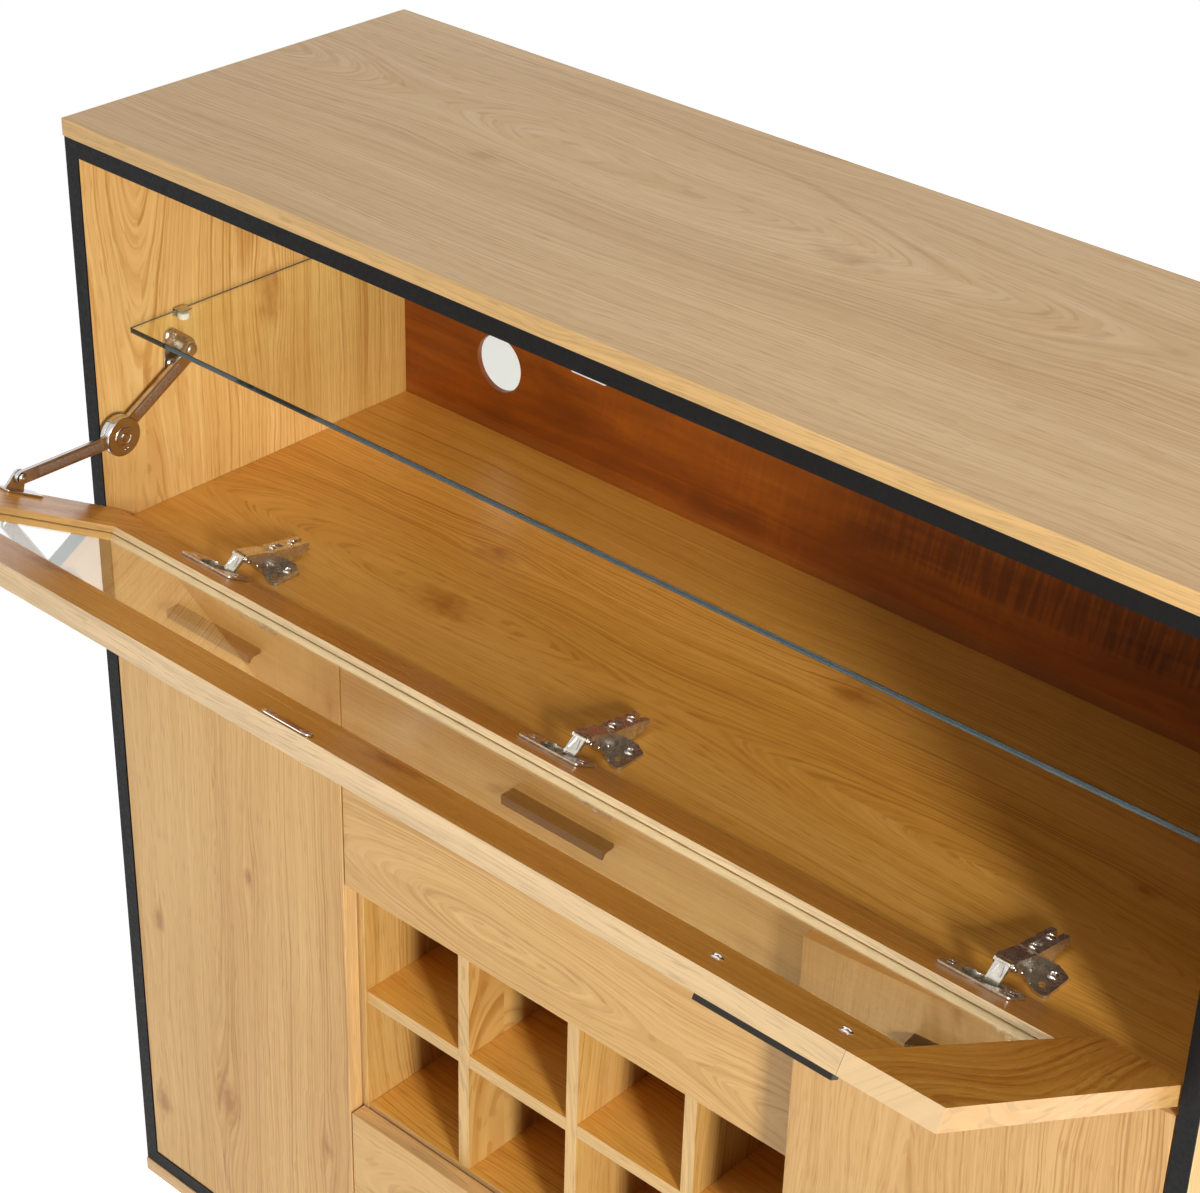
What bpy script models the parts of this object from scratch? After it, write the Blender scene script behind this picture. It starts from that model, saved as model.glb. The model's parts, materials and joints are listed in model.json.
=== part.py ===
"""Sideboard with a drop-down glazed bar flap, a wine rack, two cupboards and two drawers.

Part frame: metres, +X to the right, +Y to the back, +Z up, origin on the floor
under the middle of the cabinet. Lengths below are in millimetres. Depths are
counted from the front of the top board, and levels down from its upper face.
"""
import math

import bpy
from mathutils import Matrix

MM = 0.001
GAP = 0.3

# Cabinet
WIDTH = 1100.0
DEPTH = 377.0
HEIGHT = 1108.5
BOARD = 15.0
SIDE_OUT = 549.0
SIDE_IN = 534.0
PANEL_FRONT = 2.5
INNER_FRONT = 18.0
INNER_BACK = 357.5
BACK_FRONT = 357.8
BACK_REAR = 362.8
BACK_GROOVE = 6.2
SIDE_REAR = 376.0
BAR_FLOOR = 365.2
BOTTOM_PANEL = 1077.5
BOTTOM_BOARD = 1093.3
TRIM_FRONT = 1.0
TRIM_BACK = 2.2
DIVIDER_IN = 241.2
DIVIDER_OUT = 256.2
CABLE_HOLE_X = -413.0
CABLE_HOLE_DOWN = 295.5
CABLE_HOLE_R = 27.0

# Wine rack
RACK_FRONT = 20.0
RACK_BOARD = 13.0
RACK_CEILING = 603.0
RACK_SHELF = 718.4
RACK_BASE = 846.0
RACK_DIVIDER = 12.4
RACK_PITCH = 123.7
RACK_LAP = 188.75

# Glass shelf and its clips
SHELF_TOP = 189.1
SHELF_T = 5.0
SHELF_X = 531.0
SHELF_FRONT = 38.5
SHELF_REAR = 355.0
CLIP_DEPTHS = (92.0, 300.0)

# Flap, in a frame on its hinge axis with the flap standing closed
FLAP_OPEN_DEG = 60.3
FLAP_AXIS_Y = 7.75
FLAP_AXIS_DOWN = 358.9
FLAP_INSIDE = 8.65
FLAP_FOOT = -4.3
FLAP_X = 532.2
FLAP_MEMBER = 68.0
FLAP_LENGTH = 331.0
FLAP_T = 15.4
PANE_T = 4.0
PANE_MID = -7.7
PANE_IN = 8.1
HINGE_X = (-383.0, 0.0, 383.0)
CUP_AT = 22.0
CUP_R = 17.3
CUP_VOID_R = 15.5
BORE_R = 17.6
BORE_DEEP = 11.6
LINK_HALF = 5.8
LINK_TIP = (13.0, 2.2)
LINK_SWEEP = 24.8

# Flap stay on the left side
STAY_PIVOT = (95.1, 229.1)
STAY_ELBOW = (13.0, 277.1)
STAY_KNUCKLE = (-91.4, 276.6)
STAY_DISC_R = 17.5
STAY_UPPER_X = -526.2
STAY_LOWER_X = -521.2
STAY_ARM_T = 4.0
STAY_DISC_T = 4.7

# Doors and drawers
FRONT_FACE = 1.0
FRONT_T = 15.0
FRONT_TOP = 371.5
FRONT_BOTTOM = 1075.0
DOOR_OUT = 532.2
DOOR_IN = 247.0
DOOR_AXIS_X = 526.2
DOOR_AXIS_Y = 3.0
RIGHT_DOOR_AJAR_DEG = 5.0
DOOR_CUP_X = 509.7
DOOR_HINGE_DOWN = (470.0, 976.0)
DRAWER_X = 244.7
UPPER_FRONT_BOTTOM = 596.5
LOWER_FRONT_TOP = 848.0
BOX_X = 240.2
BOX_FRONT = 16.3
BOX_REAR = 338.0
BOX_WALL = 12.0
BOX_FLOOR = 5.0
HANDLE_LONG = 104.0
HANDLE_PROUD = 13.8
HANDLE_LIP = 8.5
DRAWER_HANDLE_DOWN = (34.0, 34.0)
DOOR_HANDLE_DOWN = 407.7
DOOR_HANDLE_X = 392.5
FLAP_HANDLE_X = 394.0
FLAP_HANDLE_AT = 298.3


def z_at(down):
    return HEIGHT - down


def clear_scene():
    for old in list(bpy.data.objects):
        bpy.data.objects.remove(old)


def new_collection(name):
    made = bpy.data.collections.new(name)
    bpy.context.scene.collection.children.link(made)
    return made


def material(name, rgb, rough, metal=0.0, clear=0.0):
    made = bpy.data.materials.new(name)
    made.use_nodes = True
    shader = made.node_tree.nodes["Principled BSDF"]
    shader.inputs["Base Color"].default_value = (*rgb, 1.0)
    shader.inputs["Roughness"].default_value = rough
    shader.inputs["Metallic"].default_value = metal
    shader.inputs["Transmission Weight"].default_value = clear
    made.diffuse_color = (*rgb, 1.0)
    return made


clear_scene()
PARTS = new_collection("sideboard_with_wine_rack")
CUTTERS = new_collection("cutters")
OAK = material("oak", (0.60, 0.40, 0.20), 0.5)
OAK_DARK = material("oak_back", (0.42, 0.25, 0.10), 0.55)
BLACK = material("black_edge", (0.02, 0.02, 0.02), 0.6)
BRONZE = material("dark_bronze", (0.09, 0.06, 0.04), 0.4, 0.6)
NICKEL = material("nickel", (0.72, 0.70, 0.67), 0.25, 1.0)
GLASS = material("clear_glass", (0.85, 0.95, 0.93), 0.03, 0.0, 1.0)
WHITE = material("white_plastic", (0.85, 0.85, 0.83), 0.45)


def axis_empty(name, x, y, down, turn=(0.0, 0.0, 0.0)):
    empty = bpy.data.objects.new(name, None)
    empty.location = (x * MM, (y - DEPTH / 2) * MM, z_at(down) * MM)
    empty.rotation_euler = turn
    empty.empty_display_size = 0.03
    PARTS.objects.link(empty)
    return empty


def adopt(obj, name, mat, home, parent):
    for holder in list(obj.users_collection):
        holder.objects.unlink(obj)
    home.objects.link(obj)
    obj.name = name
    obj.data.name = name
    obj.data.materials.clear()
    obj.data.materials.append(mat or OAK)
    if parent is not None:
        obj.parent = parent
    else:
        obj.location.y -= DEPTH / 2 * MM
    if home is CUTTERS:
        obj.hide_render = True
        obj.display_type = "WIRE"
    return obj


def box(name, x, y, z, mat=None, parent=None, home=PARTS, bevel=0.0):
    """A block between pairs of limits; on an empty they are relative to it."""
    bpy.ops.mesh.primitive_cube_add(size=1.0)
    obj = bpy.context.object
    size = [(pair[1] - pair[0]) * MM for pair in (x, y, z)]
    obj.data.transform(Matrix.Diagonal((*size, 1.0)))
    obj.location = [(pair[0] + pair[1]) / 2 * MM for pair in (x, y, z)]
    adopt(obj, name, mat, home, parent)
    if bevel:
        soften(obj, bevel)
    return obj


def soften(obj, width):
    edge = obj.modifiers.new("soft_edges", "BEVEL")
    edge.width = width * MM
    edge.segments = 2
    edge.limit_method = "ANGLE"
    edge.angle_limit = math.radians(40)


def rod(name, axis, centre, limits, radius, mat=None, parent=None, home=PARTS, sides=32):
    """A cylinder along one axis; centre gives the other two, in X, Y, Z order."""
    length = limits[1] - limits[0]
    bpy.ops.mesh.primitive_cylinder_add(vertices=sides, radius=radius * MM, depth=length * MM)
    obj = bpy.context.object
    middle = (limits[0] + limits[1]) / 2
    if axis == "X":
        obj.data.transform(Matrix.Rotation(math.pi / 2, 4, "Y"))
        spot = (middle, centre[0], centre[1])
    elif axis == "Y":
        obj.data.transform(Matrix.Rotation(math.pi / 2, 4, "X"))
        spot = (centre[0], middle, centre[1])
    else:
        spot = (centre[0], centre[1], middle)
    obj.location = [value * MM for value in spot]
    return adopt(obj, name, mat, home, parent)


PLANES = {
    "YZ": Matrix(((0, 0, 1, 0), (1, 0, 0, 0), (0, 1, 0, 0), (0, 0, 0, 1))),
    "XY": Matrix.Identity(4),
    "XZ": Matrix(((1, 0, 0, 0), (0, 0, -1, 0), (0, 1, 0, 0), (0, 0, 0, 1))),
}


def outline(name, plane, loops, limits, mat=None, parent=None, home=PARTS):
    """A flat outline drawn in a plane and drawn out between two limits across it."""
    curve = bpy.data.curves.new(name, "CURVE")
    curve.dimensions = "2D"
    curve.fill_mode = "BOTH"
    curve.extrude = (limits[1] - limits[0]) / 2 * MM
    for loop in loops:
        spline = curve.splines.new("POLY")
        spline.points.add(len(loop) - 1)
        for point, spot in zip(spline.points, loop):
            point.co = (spot[0] * MM, spot[1] * MM, 0.0, 1.0)
        spline.use_cyclic_u = True
    obj = bpy.data.objects.new(name, curve)
    bpy.context.scene.collection.objects.link(obj)
    bpy.ops.object.select_all(action="DESELECT")
    obj.select_set(True)
    bpy.context.view_layer.objects.active = obj
    bpy.ops.object.convert(target="MESH")
    obj = bpy.context.object
    obj.data.transform(PLANES[plane])
    middle = (limits[0] + limits[1]) / 2 * MM
    obj.location["XYZ".index([a for a in "XYZ" if a not in plane][0])] = middle
    adopt(obj, name, mat, home, parent)
    seam = obj.modifiers.new("close_seams", "WELD")
    seam.merge_threshold = 0.00001
    return obj


def cut(obj, tool):
    edit = obj.modifiers.new("cut_" + tool.name, "BOOLEAN")
    edit.operation = "DIFFERENCE"
    edit.solver = "EXACT"
    edit.object = tool


def fuse(obj, tool):
    edit = obj.modifiers.new("join_" + tool.name, "BOOLEAN")
    edit.operation = "UNION"
    edit.solver = "EXACT"
    edit.object = tool


def capsule(start, end, radius, steps=10):
    """Outline of a strap with round ends about two pivots."""
    turn = math.atan2(end[1] - start[1], end[0] - start[0])
    loop = []
    for spot, base in ((end, turn - math.pi / 2), (start, turn + math.pi / 2)):
        for step in range(steps + 1):
            angle = base + math.pi * step / steps
            loop.append((spot[0] + radius * math.cos(angle), spot[1] + radius * math.sin(angle)))
    return loop


def rounded(circles, steps=24):
    """Outline of a plate wrapped round circles given as (across, up, radius)."""
    spots = set()
    for across, up, radius in circles:
        for step in range(steps):
            angle = 2 * math.pi * step / steps
            spots.add((round(across + radius * math.cos(angle), 3), round(up + radius * math.sin(angle), 3)))
    loop = []
    for path in (sorted(spots), sorted(spots, reverse=True)):
        chain = []
        for spot in path:
            while len(chain) > 1 and bend(chain[-2], chain[-1], spot) < 0.001:
                chain.pop()
            chain.append(spot)
        loop += chain[:-1]
    return loop


def bend(a, b, c):
    return (b[0] - a[0]) * (c[1] - b[1]) - (b[1] - a[1]) * (c[0] - b[0])


def carcass():
    inner = SIDE_IN - GAP
    box("top_board", (-WIDTH / 2, WIDTH / 2), (0, DEPTH), (z_at(BOARD), HEIGHT), OAK, bevel=0.6)
    box("bottom_board", (-WIDTH / 2, WIDTH / 2), (0, DEPTH), (0, z_at(BOTTOM_BOARD)), OAK, bevel=0.6)
    box("sub_top_panel", (-inner, inner), (PANEL_FRONT, INNER_BACK),
        (z_at(2 * BOARD), z_at(BOARD + GAP)))
    box("bar_floor", (-inner, inner), (INNER_FRONT, INNER_BACK),
        (z_at(BAR_FLOOR + BOARD), z_at(BAR_FLOOR)), bevel=0.5)
    box("bottom_panel", (-inner, inner), (PANEL_FRONT, INNER_BACK),
        (z_at(BOTTOM_BOARD - GAP), z_at(BOTTOM_PANEL)))
    for side, sign in (("left", -1), ("right", 1)):
        panel = box(side + "_side_panel", sorted((sign * SIDE_OUT, sign * SIDE_IN)),
                    (PANEL_FRONT, SIDE_REAR), (z_at(BOTTOM_BOARD - GAP), z_at(BOARD + GAP)))
        groove = box(side + "_panel_groove", sorted((sign * (SIDE_IN + BACK_GROOVE), sign * (SIDE_IN - 1))),
                     (BACK_FRONT - GAP, BACK_REAR + GAP), (0, HEIGHT), home=CUTTERS)
        cut(panel, groove)
        box(side + "_divider", sorted((sign * DIVIDER_IN, sign * DIVIDER_OUT)), (INNER_FRONT, INNER_BACK),
            (z_at(BOTTOM_PANEL - GAP), z_at(BAR_FLOOR + BOARD + GAP)), bevel=0.5)


def back_and_trim():
    reach = SIDE_IN + BACK_GROOVE - 0.4
    panel = box("back_panel", (-reach, reach), (BACK_FRONT, BACK_REAR),
                (z_at(BOTTOM_BOARD - 0.4), z_at(BOARD + 0.6)), OAK_DARK)
    cut(panel, rod("cable_hole", "Y", (CABLE_HOLE_X, z_at(CABLE_HOLE_DOWN)), (350, 370),
                   CABLE_HOLE_R, home=CUTTERS, sides=48))
    low, high = z_at(BOTTOM_BOARD - GAP), z_at(BOARD + GAP)
    outer = [(-SIDE_OUT, low), (SIDE_OUT, low), (SIDE_OUT, high), (-SIDE_OUT, high)]
    low, high = z_at(BOTTOM_PANEL), z_at(2 * BOARD)
    inner = [(-SIDE_IN, low), (-SIDE_IN, high), (SIDE_IN, high), (SIDE_IN, low)]
    outline("front_trim", "XZ", (outer, inner), (TRIM_FRONT, TRIM_BACK), BLACK)


def wine_rack():
    reach = DIVIDER_IN - GAP
    span = (RACK_FRONT, INNER_BACK)
    box("rack_top", (-reach, reach), span, (z_at(RACK_CEILING), z_at(RACK_CEILING - RACK_BOARD)), bevel=0.4)
    box("rack_base", (-reach, reach), span, (z_at(RACK_BASE + RACK_BOARD), z_at(RACK_BASE)), bevel=0.4)
    shelf = box("rack_shelf", (-reach, reach), span, (z_at(RACK_SHELF + RACK_BOARD), z_at(RACK_SHELF)))
    for side, middle in (("left", -RACK_PITCH), ("centre", 0.0), ("right", RACK_PITCH)):
        half = RACK_DIVIDER / 2
        board = box("rack_divider_" + side, (middle - half, middle + half), span,
                    (z_at(RACK_BASE - GAP), z_at(RACK_CEILING + GAP)))
        lap = box("lap_" + side, (middle - 20, middle + 20), (RACK_LAP, DEPTH),
                  (z_at(RACK_SHELF + RACK_BOARD + GAP), z_at(RACK_SHELF - GAP)), home=CUTTERS)
        cut(board, lap)
        slot = box("slot_" + side, (middle - half - GAP, middle + half + GAP), (0, RACK_LAP + GAP),
                   (z_at(RACK_SHELF + 30), z_at(RACK_SHELF - 20)), home=CUTTERS)
        cut(shelf, slot)


def glass_shelf():
    box("glass_shelf", (-SHELF_X, SHELF_X), (SHELF_FRONT, SHELF_REAR),
        (z_at(SHELF_TOP + SHELF_T), z_at(SHELF_TOP)), GLASS, bevel=0.5)
    under, over = z_at(SHELF_TOP + SHELF_T + GAP), z_at(SHELF_TOP - GAP)
    for side, sign in (("left", -1), ("right", 1)):
        for where, depth in zip(("front", "rear"), CLIP_DEPTHS):
            name = "shelf_clip_" + side + "_" + where
            wall = sign * (SIDE_IN - GAP)
            clip = box(name, sorted((wall, sign * (SHELF_X + GAP))), (depth - 6, depth + 6),
                       (under - 6, over + 2.5), WHITE)
            fuse(clip, rod(name + "_stud", "Z", (sign * 526.5, depth), (under - 6, under), 7.0,
                           home=CUTTERS, sides=24))
            fuse(clip, box(name + "_tab", sorted((wall, sign * 521.0)), (depth - 4, depth + 4),
                           (over, over + 2.5), home=CUTTERS))


def magnetic_catch():
    catch = box("magnetic_catch", (-16, 16), (18.6, 33), (z_at(43.3), z_at(2 * BOARD + GAP)),
                WHITE, bevel=1.0)
    cut(catch, box("catch_slot", (-11, 11), (17, 20.5), (z_at(40.5), z_at(35.5)), home=CUTTERS))


def flap_hinge_arm(name, middle):
    """Cranked arm on a one-winged plate; its nose is a fork, hollowed where the flap's link swings."""
    floor = z_at(BAR_FLOOR)
    side = [(90, 4.5), (90, 11.5), (52.5, 18.5), (50.5, 17.6), (44, 20.6), (25, 26.2), (20.5, 26),
            (18.9, 24), (19.6, 20.6), (29, 15.2), (37.5, 6.5), (41, GAP), (70, GAP), (75, 4)]
    loop = [(spot[0], floor + spot[1]) for spot in side]
    arm = outline(name, "YZ", [loop], (middle - 8, middle + 8), NICKEL)
    corners = ((19.5, 37), (23.5, 37), (23.5, 59), (14, 64), (-3.5, 64), (-3.5, 50))
    wing = [(middle + u, y, 4) for u, y in corners]
    fuse(arm, outline(name + "_wing", "XY", [rounded(wing)], (floor + GAP, floor + 2.8), home=CUTTERS))
    cut(arm, rod(name + "_sweep", "X", (FLAP_AXIS_Y, z_at(FLAP_AXIS_DOWN)), (middle - 6.2, middle + 6.2),
                 LINK_SWEEP, home=CUTTERS, sides=48))
    cut(arm, box(name + "_notch", (middle - 2.6, middle + 2.6), (80, 95), (floor, floor + 45), home=CUTTERS))
    cut(arm, box(name + "_window", (middle - 3, middle + 3), (60.5, 66), (floor + 13, floor + 45),
                 home=CUTTERS))
    cut(arm, rod(name + "_hole", "Z", (middle + 18, 42.5), (floor - 2, floor + 6), 3.0,
                 home=CUTTERS, sides=16))


def flap_hinge_cup(name, middle, flap):
    """Cup and flange let into the hinge rail, with the bent link that swings in the arm's fork."""
    face, foot = FLAP_INSIDE, FLAP_FOOT
    cup = rod(name, "Y", (middle, foot + CUP_AT), (face - 11.3, face + 0.9), CUP_R, NICKEL, flap, sides=40)
    ears = [(middle + u, foot + z, 5) for u in (-25.5, 25.5) for z in (16.5, 34.5)]
    fuse(cup, outline(name + "_flange", "XZ", [rounded(ears)], (face + GAP, face + 2.2),
                      parent=flap, home=CUTTERS))
    cut(cup, rod(name + "_void", "Y", (middle, foot + CUP_AT), (face - 10.1, face + 5), CUP_VOID_R,
                 parent=flap, home=CUTTERS, sides=40))
    bent = [(-10.7, 6.3), (0.6, 6.3), (2.0, 5.0), (11.2, 0.4), (14.3, 3.4), (3.0, 8.2),
            (0.6, 9.6), (-10.7, 9.6)]
    loop = [(face + spot[0], foot + spot[1]) for spot in bent]
    fuse(cup, outline(name + "_link", "YZ", [loop], (middle - LINK_HALF, middle + LINK_HALF),
                      parent=flap, home=CUTTERS))
    fuse(cup, rod(name + "_barrel", "X", (face + LINK_TIP[0], foot + LINK_TIP[1]),
                  (middle - LINK_HALF, middle + LINK_HALF), 2.4, parent=flap, home=CUTTERS, sides=20))


def flap_frame(flap):
    face, foot = FLAP_INSIDE, FLAP_FOOT
    thick = (face - FLAP_T, face)
    inner = FLAP_X - FLAP_MEMBER
    groove = (face + PANE_MID - PANE_T / 2 - GAP, face + PANE_MID + PANE_T / 2 + GAP)
    low, high = foot + FLAP_MEMBER, foot + FLAP_LENGTH - FLAP_MEMBER
    deep = PANE_IN + GAP
    for side, sign in (("left", -1), ("right", 1)):
        stile = box("flap_" + side + "_stile", sorted((sign * inner, sign * FLAP_X)), thick,
                    (foot, foot + FLAP_LENGTH), OAK, flap)
        cut(stile, box("stile_groove_" + side, sorted((sign * (inner - 5), sign * (inner + deep))), groove,
                       (low - deep, high + deep), parent=flap, home=CUTTERS))
    rail = box("flap_hinge_rail", (GAP - inner, inner - GAP), thick, (foot, low), OAK, flap)
    cut(rail, box("rail_groove_low", (-inner, inner), groove, (low - deep, low + 5),
                  parent=flap, home=CUTTERS))
    for number, middle in enumerate(HINGE_X):
        cut(rail, rod("cup_bore_%d" % number, "Y", (middle, foot + CUP_AT),
                      (face - BORE_DEEP, face + 5), BORE_R, parent=flap, home=CUTTERS, sides=40))
    rail = box("flap_outer_rail", (GAP - inner, inner - GAP), thick, (high, foot + FLAP_LENGTH), OAK, flap)
    cut(rail, box("rail_groove_high", (-inner, inner), groove, (high - 5, high + deep),
                  parent=flap, home=CUTTERS))
    box("flap_glass", (-inner - PANE_IN, inner + PANE_IN),
        (face + PANE_MID - PANE_T / 2, face + PANE_MID + PANE_T / 2),
        (low - PANE_IN, high + PANE_IN), GLASS, flap)
    strike = rounded([(u, foot + 323.7, 5.5) for u in (-17.5, 17.5)])
    outline("flap_catch_plate", "XZ", [strike], (face + GAP, face + 1.8), NICKEL, flap)


def handle(name, middle, face, top, parent):
    """Lipped pull: a flat shelf with a lip turned down at its front and a cove under it."""
    front = face - HANDLE_PROUD
    loop = [(face - GAP, top), (front, top), (front, top - HANDLE_LIP), (front + 2.4, top - HANDLE_LIP)]
    for step in range(6):
        angle = math.pi / 2 * step / 5
        loop.append((front + 2.4 + 4.0 * (1 - math.cos(angle)),
                     top - HANDLE_LIP + 0.4 + 4.0 * math.sin(angle)))
    loop.append((face - GAP, top - 4.1))
    return outline(name, "YZ", [loop], (middle - HANDLE_LONG / 2, middle + HANDLE_LONG / 2), BRONZE, parent)


def flap_stay(flap, upper, lower):
    pivot = (STAY_PIVOT[0], z_at(STAY_PIVOT[1]))
    wall = -SIDE_IN + GAP
    lobes = [(pivot[0] - 13.6, pivot[1] + 14, 7.5), (pivot[0] - 16.6, pivot[1] - 8, 6),
             (pivot[0] + 2, pivot[1] - 2, 10)]
    plate = outline("stay_bracket", "YZ", [rounded(lobes)], (wall, wall + 2.5), NICKEL)
    fuse(plate, rod("stay_boss", "X", pivot, (wall + 1, STAY_UPPER_X - GAP), 7.5, home=CUTTERS, sides=24))
    fuse(plate, rod("stay_pin", "X", pivot, (STAY_UPPER_X - 2, STAY_UPPER_X + STAY_ARM_T + 1), 3.0,
                    home=CUTTERS, sides=24))
    reach = (STAY_ELBOW[0] - STAY_PIVOT[0], STAY_PIVOT[1] - STAY_ELBOW[1])
    stay_arm("stay_upper_arm", reach, 6.5, 3.2, upper)
    reach = (STAY_ELBOW[0] - STAY_KNUCKLE[0], STAY_KNUCKLE[1] - STAY_ELBOW[1])
    stay_arm("stay_lower_arm", reach, 6.0, 2.7, lower)
    face, foot = FLAP_INSIDE, FLAP_FOOT
    along, proud = knuckle_on_flap()
    middle = (face + proud, foot + along)
    corners = [(x, middle[1] + shift, 3) for x in (-528, -519) for shift in (-26, 9)]
    foot_plate = outline("stay_flap_bracket", "XZ", [rounded(corners)], (face + GAP, face + 2.3),
                         NICKEL, flap)
    ear = rounded([(face + 2, middle[1] - 9, 1.2), (face + 2, middle[1] + 9, 1.2), (*middle, 6.5)])
    fuse(foot_plate, outline("flap_bracket_ear", "YZ", [ear], (STAY_LOWER_X - GAP - 2.6, STAY_LOWER_X - GAP),
                             parent=flap, home=CUTTERS))
    fuse(foot_plate, rod("flap_bracket_pin", "X", middle,
                         (STAY_LOWER_X - 2, STAY_LOWER_X + STAY_ARM_T + 1), 2.5,
                         parent=flap, home=CUTTERS, sides=24))


def stay_arm(name, reach, half, eye, axis):
    """Strap with an eye at its pivot and half of the friction elbow's drum at its far end."""
    arm = outline(name, "YZ", [capsule((0, 0), reach, half)], (0, STAY_ARM_T), NICKEL, axis)
    fuse(arm, rod(name + "_drum", "X", reach, (0, STAY_DISC_T), STAY_DISC_R,
                  parent=axis, home=CUTTERS, sides=40))
    cut(arm, rod(name + "_eye", "X", (0, 0), (-5, 10), eye, parent=axis, home=CUTTERS, sides=24))


def knuckle_on_flap():
    """Knuckle position along the open flap from its foot, and proud of its inside face."""
    turn = math.radians(FLAP_OPEN_DEG)
    back = STAY_KNUCKLE[0] - FLAP_AXIS_Y
    rise = FLAP_AXIS_DOWN - STAY_KNUCKLE[1]
    y = back * math.cos(turn) + rise * math.sin(turn)
    z = rise * math.cos(turn) - back * math.sin(turn)
    return z - FLAP_FOOT, y - FLAP_INSIDE


def door(side, sign, axis):
    """Door, handle and hinge cups on the door's own axis; the arms stay on the cabinet."""
    shift_x, shift_y, shift_z = sign * DOOR_AXIS_X, DOOR_AXIS_Y, z_at(FRONT_BOTTOM)
    face = (FRONT_FACE - shift_y, FRONT_FACE + FRONT_T - shift_y)
    span = sorted((sign * DOOR_OUT - shift_x, sign * DOOR_IN - shift_x))
    panel = box(side + "_door", span, face, (0, z_at(FRONT_TOP) - shift_z), OAK, axis, bevel=0.5)
    handle(side + "_door_handle", sign * DOOR_HANDLE_X - shift_x, face[0],
           z_at(DOOR_HANDLE_DOWN) - shift_z, axis)
    middle = sign * DOOR_CUP_X - shift_x
    for where, down in zip(("upper", "lower"), DOOR_HINGE_DOWN):
        level = z_at(down) - shift_z
        name = side + "_door_cup_" + where
        back = face[1]
        cut(panel, rod(name + "_bore", "Y", (middle, level), (back - BORE_DEEP, back + 5), BORE_R,
                       parent=axis, home=CUTTERS, sides=40))
        cup = rod(name, "Y", (middle, level), (back - 11.3, back + 0.9), CUP_R, NICKEL, axis, sides=40)
        fuse(cup, box(name + "_flange", (middle - 8, middle + 8), (back + GAP, back + 1.5),
                      (level - 31, level + 31), parent=axis, home=CUTTERS))
        cut(cup, rod(name + "_void", "Y", (middle, level), (back - 10.1, back + 5), CUP_VOID_R,
                     parent=axis, home=CUTTERS, sides=40))
        door_hinge_arm(side + "_door_arm_" + where, sign, z_at(down))


def door_hinge_arm(name, sign, level):
    """Bent arm on a winged plate, its nose inside the door's cup and clear of it as the door swings."""
    plan = [(18.5, 80), (27, 80), (31, 46), (40, 32), (45, 20), (44.5, 10), (41.5, 7.8), (38.5, 8.2),
            (37, 11), (38, 18.5), (33, 27), (26, 33), (18.5, 36)]
    loop = [(sign * (WIDTH / 2 - spot[0]), spot[1]) for spot in plan]
    arm = outline(name, "XY", [loop], (level - 6.5, level + 6.5), NICKEL)
    wall = sign * (SIDE_IN - GAP)
    wings = rounded([(y, level + up, 4) for y in (42, 72) for up in (-20, 20)])
    fuse(arm, outline(name + "_wings", "YZ", [wings], sorted((wall, wall - sign * 2.5)), home=CUTTERS))


def drawer(which, top, bottom, box_top, box_bottom, handle_down, axis):
    face = (FRONT_FACE, FRONT_FACE + FRONT_T)
    box(which + "_drawer_front", (-DRAWER_X, DRAWER_X), face, (z_at(bottom), z_at(top)),
        OAK, axis, bevel=0.5)
    case = box(which + "_drawer_box", (-BOX_X, BOX_X), (BOX_FRONT, BOX_REAR),
               (z_at(box_bottom), z_at(box_top)), OAK, axis)
    cut(case, box(which + "_drawer_hollow", (BOX_WALL - BOX_X, BOX_X - BOX_WALL),
                  (BOX_FRONT + BOX_WALL, BOX_REAR - BOX_WALL),
                  (z_at(box_bottom) + BOX_FLOOR, z_at(box_top) + 20), parent=axis, home=CUTTERS))
    handle(which + "_drawer_handle", 0.0, face[0], z_at(top + handle_down), axis)


def build():
    carcass()
    back_and_trim()
    wine_rack()
    glass_shelf()
    magnetic_catch()
    flap = axis_empty("flap_axis", 0, FLAP_AXIS_Y, FLAP_AXIS_DOWN, (math.radians(FLAP_OPEN_DEG), 0, 0))
    upper = axis_empty("stay_upper_axis", STAY_UPPER_X, *STAY_PIVOT)
    lower = axis_empty("stay_lower_axis", STAY_LOWER_X, *STAY_KNUCKLE)
    for side, middle in zip(("left", "centre", "right"), HINGE_X):
        flap_hinge_arm("flap_hinge_arm_" + side, middle)
        flap_hinge_cup("flap_hinge_cup_" + side, middle, flap)
    flap_frame(flap)
    for side, sign in (("left", -1), ("right", 1)):
        handle("flap_handle_" + side, sign * FLAP_HANDLE_X, FLAP_INSIDE - FLAP_T,
               FLAP_FOOT + FLAP_HANDLE_AT, flap)
    flap_stay(flap, upper, lower)
    for side, sign, ajar in (("left", -1, 0.0), ("right", 1, math.radians(RIGHT_DOOR_AJAR_DEG))):
        axis = axis_empty(side + "_door_axis", sign * DOOR_AXIS_X, DOOR_AXIS_Y, FRONT_BOTTOM, (0, 0, ajar))
        door(side, sign, axis)
    for which, top, bottom, box_top, box_bottom, down in (
            ("upper", FRONT_TOP, UPPER_FRONT_BOTTOM, 412.0, 589.6, DRAWER_HANDLE_DOWN[0]),
            ("lower", LOWER_FRONT_TOP, FRONT_BOTTOM, 885.0, 1077.1, DRAWER_HANDLE_DOWN[1])):
        axis = axis_empty(which + "_drawer_axis", 0, 0, HEIGHT)
        drawer(which, top, bottom, box_top, box_bottom, down, axis)


build()
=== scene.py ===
"""Looks of the sideboard: oak, glass, metal and small fittings, in studio light at the photograph's view."""
import json
import math

import bmesh
import bpy
from mathutils import Matrix, Vector

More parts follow.
